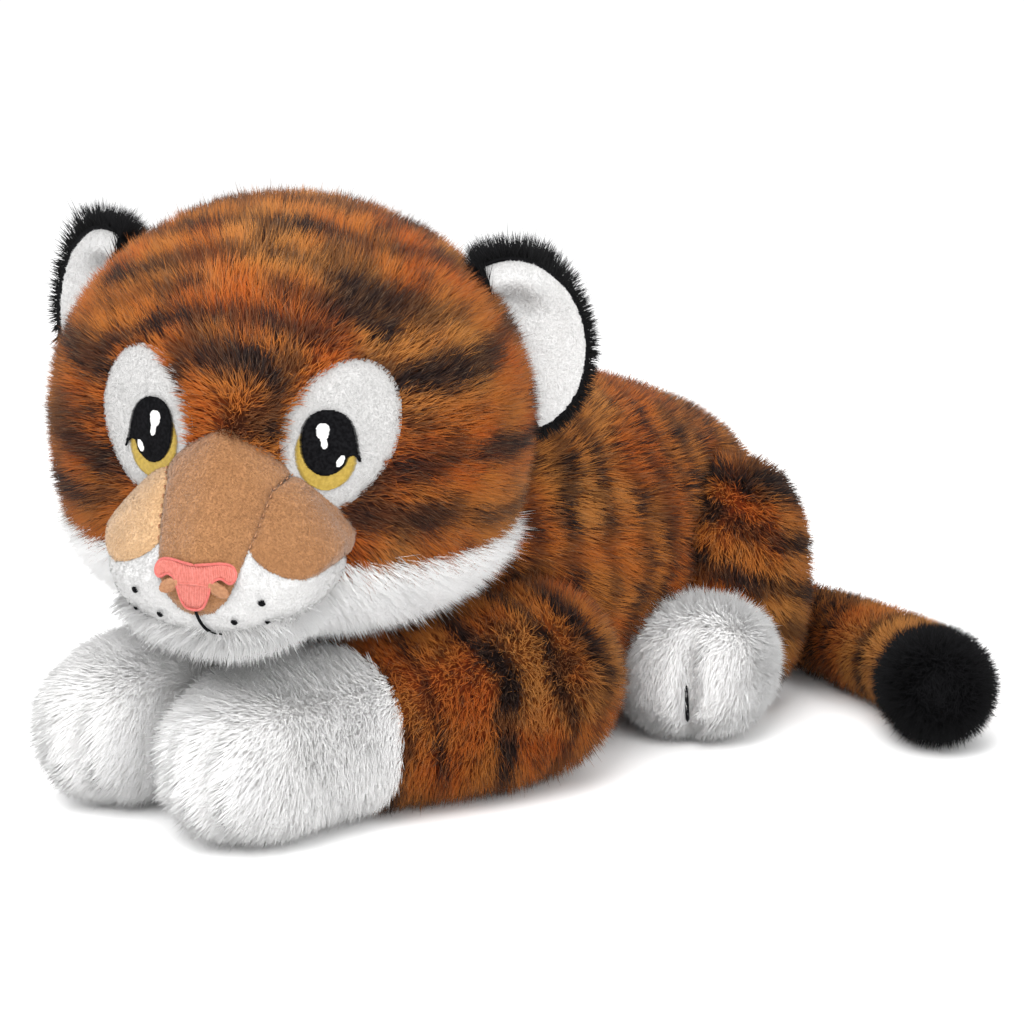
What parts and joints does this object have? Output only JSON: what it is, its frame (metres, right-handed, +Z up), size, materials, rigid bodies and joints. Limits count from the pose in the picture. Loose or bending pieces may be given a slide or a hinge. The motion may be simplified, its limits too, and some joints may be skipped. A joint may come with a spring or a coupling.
{
  "type": "plush tiger",
  "caption": "Lying plush tiger with a turned head, folding ears, outstretched front legs, round haunches and a tail curled round one side.",
  "frame": {"origin": "middle of the belly's flat underside, on the floor", "axes": "+Z up, -Y the way the body points, +X the tiger's left side"},
  "size_m": [0.3027, 0.3991, 0.2309],
  "materials": {
    "tiger_fur": "long orange pile with dark stripes",
    "white_fur": "long white pile",
    "black_fur": "long black pile",
    "white_velour": "short soft pile",
    "tan_velour": "short soft pile",
    "pink_satin": "satin stitched",
    "brown_thread": "embroidery",
    "black_thread": "embroidery",
    "gold_thread": "embroidery",
    "white_thread": "embroidery",
    "stuffing": "loose polyester fibre"
  },
  "bodies": {
    "torso": {"torso_cover": "tiger_fur", "torso_stuffing": "stuffing"},
    "head": {"head_cover": "tiger_fur", "jaw_ruff": "white_fur", "head_stuffing": "stuffing", "muzzle_bridge": "tan_velour", "lower_muzzle": "white_velour", "left_muzzle_panel": "tan_velour", "right_muzzle_panel": "tan_velour", "muzzle_stuffing": "stuffing", "nose": "pink_satin", "left_nostril": "brown_thread", "right_nostril": "brown_thread", "mouth_stitch": "black_thread", "left_whisker_dot_1": "black_thread", "left_whisker_dot_2": "black_thread", "left_whisker_dot_3": "black_thread", "right_whisker_dot_1": "black_thread", "right_whisker_dot_2": "black_thread", "right_whisker_dot_3": "black_thread", "left_eye_patch": "white_velour", "left_eye_pupil": "black_thread", "left_eye_iris": "gold_thread", "left_eye_large_highlight": "white_thread", "left_eye_small_highlight": "white_thread", "right_eye_patch": "white_velour", "right_eye_pupil": "black_thread", "right_eye_iris": "gold_thread", "right_eye_large_highlight": "white_thread", "right_eye_small_highlight": "white_thread"},
    "left_ear": {"left_ear_back": "black_fur", "left_ear_lining": "white_velour"},
    "right_ear": {"right_ear_back": "black_fur", "right_ear_lining": "white_velour"},
    "left_front_leg": {"left_front_sleeve": "tiger_fur", "left_front_paw": "white_fur", "left_front_leg_stuffing": "stuffing", "left_front_toe_stitch_1": "black_thread", "left_front_toe_stitch_2": "black_thread"},
    "right_front_leg": {"right_front_sleeve": "tiger_fur", "right_front_paw": "white_fur", "right_front_leg_stuffing": "stuffing", "right_front_toe_stitch_1": "black_thread", "right_front_toe_stitch_2": "black_thread"},
    "left_hind_leg": {"left_haunch": "tiger_fur", "left_hind_paw": "white_fur", "left_hind_leg_stuffing": "stuffing", "left_hind_toe_stitch": "black_thread"},
    "right_hind_leg": {"right_haunch": "tiger_fur", "right_hind_paw": "white_fur", "right_hind_leg_stuffing": "stuffing", "right_hind_toe_stitch": "black_thread"},
    "tail": {"tail_cover": "tiger_fur", "tail_tip": "black_fur", "tail_stuffing": "stuffing"}
  },
  "joints": [
    {"name": "neck_turn", "type": "hinge", "parent": "torso", "child": "head", "pos_m": [0, -0.109, 0.152], "axis": [0.0385, 0.0205, 0.999], "range_deg": [-14, 14], "stiffness_Nm_per_rad": 0.6},
    {"name": "left_ear_fold", "type": "hinge", "parent": "head", "child": "left_ear", "pos_m": [0.0654, -0.0505, 0.17731], "axis": [-0.1399, -0.3116, 0.9398], "range_deg": [-12, 12], "stiffness_Nm_per_rad": 0.03},
    {"name": "right_ear_fold", "type": "hinge", "parent": "head", "child": "right_ear", "pos_m": [-0.08283, -0.12932, 0.18464], "axis": [0.408, -0.0203, 0.9128], "range_deg": [-12, 12], "stiffness_Nm_per_rad": 0.03},
    {"name": "left_shoulder_swing", "type": "hinge", "parent": "torso", "child": "left_front_leg", "pos_m": [0.06, -0.046, 0.04], "axis": [0, 0, 1], "range_deg": [0, 20], "stiffness_Nm_per_rad": 0.3},
    {"name": "right_shoulder_swing", "type": "hinge", "parent": "torso", "child": "right_front_leg", "pos_m": [-0.06, -0.046, 0.04], "axis": [0, 0, 1], "range_deg": [-20, 0], "stiffness_Nm_per_rad": 0.3},
    {"name": "left_hip_swing", "type": "hinge", "parent": "torso", "child": "left_hind_leg", "pos_m": [0.055, 0.092, 0.04], "axis": [0, 0, 1], "range_deg": [0, 20], "stiffness_Nm_per_rad": 0.3},
    {"name": "right_hip_swing", "type": "hinge", "parent": "torso", "child": "right_hind_leg", "pos_m": [-0.055, 0.092, 0.04], "axis": [0, 0, 1], "range_deg": [-20, 0], "stiffness_Nm_per_rad": 0.3},
    {"name": "tail_swing", "type": "hinge", "parent": "torso", "child": "tail", "pos_m": [0.009, 0.155, 0.02], "axis": [0, 0, 1], "range_deg": [0, 70], "stiffness_Nm_per_rad": 0.08}
  ]
}
